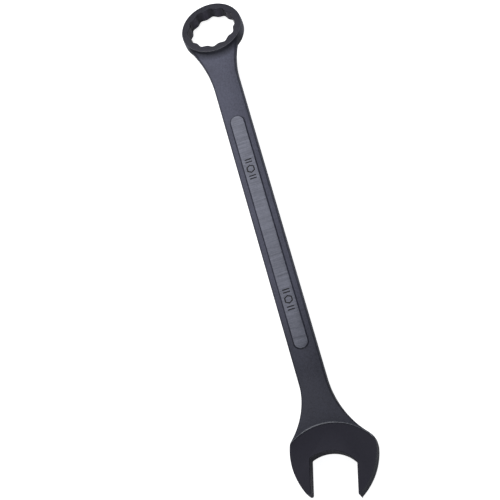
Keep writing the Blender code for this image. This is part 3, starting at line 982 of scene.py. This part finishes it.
@dataclass
class Wrench:
    """The whole forging: bar, ring, panels, jaw and marks, laid on the bench and finished."""

    jaw: Jaw
    ring: Ring
    shank: Shank
    rest_tilt: float = math.radians(1.2807)
    origin_in_box: tuple[float, float, float] = (0.034369, 0.044518, 0.022183)
    fillet_size: float = 0.0090
    # reach of the painted shade in the corner under the ring
    hollow_shade_reach: float = 0.0075
    mark_places: tuple[float, float] = (0.1766, 0.3287)
    crease: float = math.radians(28)
    head_from: float = 0.40
    level: float = 0.999
    same_height: float = 4e-5
    first_wear: float = 0.10
    wear_run: float = 0.55
    largest_worn_face: float = 6e-6

    def build(self) -> bpy.types.Object:
        """Builds the forging in the drawing's frame.

        Returns:
            The finished mesh's object, still in the drawing's frame.
        """
        piece = self.shank.build()
        combine(piece, self.ring.core(), "DIFFERENCE")
        combine(piece, self.ring.build(), "UNION")
        self.shank.fillet(piece, self.fillet_size)
        for side in (1, -1):
            combine(piece, self.shank.panel(side), "UNION")
        combine(piece, self.jaw.tip_plane(), "DIFFERENCE")
        combine(piece, self.jaw.opening(), "DIFFERENCE")
        for side in (1, -1):
            combine(piece, self.jaw.mill(side), "DIFFERENCE")
        for place in self.mark_places:
            for cutter in SizeMark(place).cutters(self.shank.panel_top):
                combine(piece, cutter, "DIFFERENCE")
        LOG.info("forging: %d faces", len(piece.data.polygons))
        return piece

    def sort_faces(self, piece: bpy.types.Object) -> Array:
        """Finds each face's finish from where it lies and which way it looks.

        Args:
            piece: The forging, in the drawing's frame.

        Returns:
            The number of each face's finish.
        """
        faces = piece.data.polygons
        centre, normal = read(faces, "center", 3), read(faces, "normal", 3)
        kind = np.full(len(faces), Finish.FORGED.value)
        flat, height = np.abs(normal[:, 2]), np.abs(centre[:, 2])
        local = self.jaw.local(centre[:, :2])
        in_jaw = (np.abs(local[:, 1]) < self.jaw.half_width + 0.0008) & (local[:, 0] > -0.0262)
        kind[in_jaw & (flat < 0.95)] = Finish.MILLED.value
        kind[in_jaw & (flat < 0.5)] = Finish.JAW.value
        from_mill = np.hypot(local[:, 0] - self.jaw.mill_ahead, local[:, 1]) - self.jaw.mill_radius
        in_head = centre[:, 0] > self.head_from
        # The step and broken rim of the milled face get the rubbed finish, whose brightness is partly a
        # painted highlight.
        step = in_head & (np.abs(from_mill - 0.0003) < 0.0010) & (height > self.jaw.face_half + 0.0003)
        kind[step & (flat < 0.9)] = Finish.EDGE.value
        milled = (flat > self.level) & (np.abs(height - self.jaw.face_half) < self.same_height)
        kind[milled & in_head] = Finish.MILLED.value
        top = self.shank.panel_top
        along = (centre[:, 0] > self.shank.panel_start) & (centre[:, 0] < self.head_from)
        kind[along & (flat > self.level) & (np.abs(height - top) < self.same_height)] = Finish.PANEL.value
        sunk = along & (centre[:, 2] < top - 2e-5) & (centre[:, 2] > top - 0.0006)
        kind[sunk & (np.abs(centre[:, 1]) < 0.0050)] = Finish.RECESS.value
        own = self.ring.to_frame(centre)
        facing = np.abs(normal @ self.ring.placement[:, 2])
        radius = np.hypot(own[:, 0], own[:, 1])
        on_ring = radius < self.ring.outer + 0.0005
        half = self.ring.height / 2
        kind[on_ring & (facing > 0.99) & (np.abs(own[:, 2]) > half - 6e-5)] = Finish.RING_FACE.value
        inside = on_ring & (radius < self.ring.root_radius + self.ring.lead_in) & (facing < 0.95)
        kind[inside] = Finish.BROACHED.value
        kind[inside & (facing > 0.3)] = Finish.RING_FACE.value
        # The ring's upper edge on the shank side gets a lighter colour of its own.
        rim = on_ring & (own[:, 0] > 0.0) & (own[:, 2] > half - self.ring.edge) & (facing < 0.9)
        kind[rim & (facing > 0.25) & (radius > self.ring.root_radius + 0.002)] = Finish.RIM.value
        LOG.info("faces by finish: %s", dict(zip([f.name for f in Finish], np.bincount(kind).tolist())))
        return kind

    def mark_wear(self, piece: bpy.types.Object) -> None:
        """Stores how far each corner stands on an outward edge, as the attribute that wear reads.

        Two faces that meet at an outward fold wear along their common edge, in step with the angle
        between them. Large flat faces are left alone, because their corners are far apart.

        Args:
            piece: The forging.
        """
        bm = bmesh.new()
        bm.from_mesh(piece.data)
        bm.normal_update()
        fold = np.array([edge.calc_face_angle_signed(0.0) for edge in bm.edges])
        bm.free()
        mesh = piece.data
        wear = np.zeros(len(mesh.vertices))
        strength = smooth((fold - self.first_wear) / self.wear_run)
        for end in read(mesh.edges, "vertices", 2, np.int64).T:
            np.maximum.at(wear, end, strength)
        corners = read(mesh.loops, "vertex_index", kind=np.int64)
        small = np.repeat(read(mesh.polygons, "area") < self.largest_worn_face,
                          read(mesh.polygons, "loop_total", kind=np.int64))
        attribute = mesh.attributes.new("wear", "FLOAT", "CORNER")
        attribute.data.foreach_set("value", (wear[corners] * small).astype(np.float32))
        mesh.polygons.foreach_set("use_smooth", np.ones(len(mesh.polygons), dtype=bool))
        mesh.edges.foreach_set("use_edge_sharp", np.abs(fold) > self.crease)

    def mark_hollow_shade(self, piece: bpy.types.Object) -> None:
        """Stores how deep each point lies in the corner under the ring or in a root of the hole, as the mask
        of the painted shade there.

        The distance to the corner is the root of two squares: how far the point lies outside the
        ring, and how far it stands above the skin of the neck. In the hole it is the share of the
        way from a tooth out to a root.

        Args:
            piece: The forging, in the drawing's frame.
        """
        points = points_of(piece)
        own = self.ring.to_frame(points)
        radius = np.hypot(own[:, 0], own[:, 1])
        outside = np.maximum(radius - self.ring.outer, 0.0)
        above = np.maximum(np.abs(points[:, 2]) - self.shank.half_height(points[:, 0]), 0.0)
        near = 1 - np.hypot(outside, 0.6 * above) / self.hollow_shade_reach
        ahead = smooth((points[:, 0] - 0.010) / 0.012)
        tooth, root = self.ring.flat_radius / math.cos(math.pi / 12), self.ring.root_radius
        deep = np.where(radius < root + self.ring.lead_in + 1e-4, (radius - tooth) / (root - tooth),
                        near * ahead)
        attribute = piece.data.attributes.new("hollow_shade", "FLOAT", "POINT")
        attribute.data.foreach_set("value", np.clip(deep, 0.0, 1.0).astype(np.float32))

    def lay_down(self, piece: bpy.types.Object) -> Vector:
        """Lays the forging on the bench, with its origin where it is in the box of the CAD node.

        Args:
            piece: The forging, in the drawing's frame.

        Returns:
            Where the drawing's origin comes to lie.
        """
        turned = points_of(piece) @ np.array(Matrix.Rotation(self.rest_tilt, 3, "Y")).T
        shift = np.array(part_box(NODE)[0]) + np.array(self.origin_in_box)
        move_points(piece, turned + shift)
        return Vector(shift)

    def dress(self, piece: bpy.types.Object, kind: Array, corner: Vector) -> None:
        """Puts the finishes into the material slots, and then gives each face its own.

        Args:
            piece: The forging.
            kind: The number of each face's finish.
            corner: Where the drawing's origin lies.
        """
        groups = build_groups()
        piece.data.materials.clear()
        for finish in Finish:
            piece.data.materials.append(FINISHES[finish].build(groups, self.rest_tilt, corner))
        piece.data.polygons.foreach_set("material_index", kind)
        piece.data.update()

    def make(self) -> bpy.types.Object:
        """Builds, sorts, lays down and dresses the wrench, and ties it to the frame."""
        piece = self.build()
        kind = self.sort_faces(piece)
        self.mark_wear(piece)
        self.mark_hollow_shade(piece)
        corner = self.lay_down(piece)
        self.dress(piece, kind, corner)
        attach(piece, "root")
        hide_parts("combination_wrench")
        LOG.info("wrench: %s at %s", piece.name, tuple(round(value, 6) for value in corner))
        return piece


@dataclass(frozen=True)
class Studio:
    """The pale floor, the soft lights and the camera."""

    lens: float = 125.727
    position: tuple[float, float, float] = (0.67439, 0.17834, 1.71932)
    forward: tuple[float, float, float] = (-0.36352, -0.11105, -0.92494)
    right: tuple[float, float, float] = (0.25223, 0.94405, -0.21248)

    def floor(self) -> None:
        """Lays a plain pale floor with its top at the bench."""
        size = 6.0
        mesh = bpy.data.meshes.new("floor")
        mesh.from_pydata([(-size, -size, 0.0), (size, -size, 0.0), (size, size, 0.0), (-size, size, 0.0)],
                         [], [(0, 1, 2, 3)])
        floor = bpy.data.objects.new("floor", mesh)
        bpy.context.scene.collection.objects.link(floor)
        material = bpy.data.materials.new("pale_floor")
        material.use_nodes = True
        tree = material.node_tree
        to_camera = add_node(tree, "LightPath").outputs["Is Camera Ray"]
        feed(tree, tree.nodes["Principled BSDF"],
             {"Base Color": (0.80, 0.80, 0.80, 1.0), "Roughness": 0.9, "Specular IOR Level": 0.1,
              "Emission Color": (1.0, 1.0, 1.0, 1.0),
              "Emission Strength": add_math(tree, "MULTIPLY", to_camera, 0.85)})
        mesh.materials.append(material)

    def panel_light(self, name: str, place: tuple[float, float, float], size: float,
                    power: float) -> None:
        """Hangs a square soft light that looks at the bench's middle.

        Args:
            name: Name of the light.
            place: Where it hangs.
            size: Length of its side.
            power: Its power in watts.
        """
        light = bpy.data.lights.new(name, "AREA")
        light.shape = "SQUARE"
        light.size = size
        light.energy = power
        lamp = bpy.data.objects.new(name, light)
        lamp.location = place
        lamp.rotation_euler = (-Vector(place)).to_track_quat("-Z", "Y").to_euler()
        bpy.context.scene.collection.objects.link(lamp)

    def lights(self) -> None:
        """Sets a dim even sky and the soft lights."""
        world = bpy.data.worlds.new("studio")
        world.use_nodes = True
        sky = world.node_tree.nodes["Background"]
        sky.inputs["Color"].default_value = (0.86, 0.91, 1.0, 1.0)
        sky.inputs["Strength"].default_value = 0.24
        bpy.context.scene.world = world
        self.panel_light("ring_end_light", (-0.62, -0.22, 1.05), 1.0, 10.0)
        self.panel_light("front_light", (1.50, 0.00, 0.55), 0.5, 4.0)

    def camera(self) -> None:
        """Points the camera along its line of sight, turned about it by its own right-hand side."""
        forward = Vector(self.forward).normalized()
        right = Vector(self.right).normalized()
        up = right.cross(forward)
        axes = Matrix((right, up, -forward)).transposed().to_4x4()
        data = bpy.data.cameras.new("camera")
        data.lens = self.lens
        data.sensor_width = 36.0
        data.clip_start = 0.05
        camera = bpy.data.objects.new("camera", data)
        camera.matrix_world = Matrix.Translation(self.position) @ axes
        bpy.context.scene.collection.objects.link(camera)
        bpy.context.scene.camera = camera

    def build(self) -> None:
        """Sets up the studio."""
        self.floor()
        self.lights()
        self.camera()
        bpy.context.scene.view_settings.view_transform = "Standard"
        LOG.info("studio: floor, lights and camera")


def main() -> None:
    """Builds the wrench and the studio."""
    logging.basicConfig(level=logging.INFO, format="%(name)s: %(message)s")
    jaw, ring = Jaw(), Ring()
    Wrench(jaw, ring, Shank(jaw, ring)).make()
    Studio().build()


if __name__ == "__main__":
    main()
